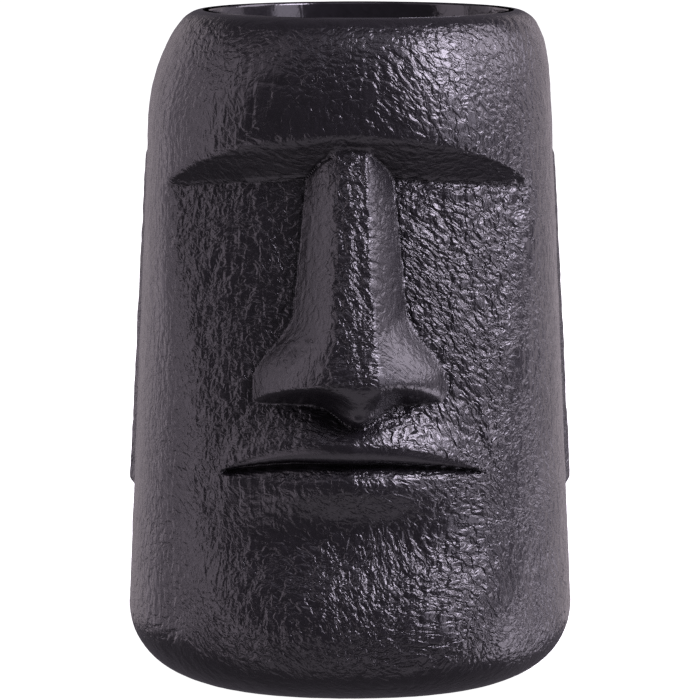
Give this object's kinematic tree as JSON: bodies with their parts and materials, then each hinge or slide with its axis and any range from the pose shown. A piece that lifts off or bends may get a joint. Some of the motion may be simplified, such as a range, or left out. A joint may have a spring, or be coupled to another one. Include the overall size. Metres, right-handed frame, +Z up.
{
  "type": "desk pot shaped as a moai head",
  "caption": "Hollow desk pot or pen holder in the shape of a moai head, with a long nose, heavy brow, low ears and a smooth round well.",
  "frame": {"origin": "on the ground, under the middle of the pot's bounding box", "axes": "+Z up along the pot, face looking along -Y, +X to the right as the viewer faces the pot"},
  "size_m": [0.1012, 0.1086, 0.15],
  "materials": {
    "black_resin": "satin charcoal black over a bark-like wrinkled cast surface, smoother and glossier in the well"
  },
  "bodies": {
    "root": {"moai_pot": "black_resin"}
  },
  "joints": []
}
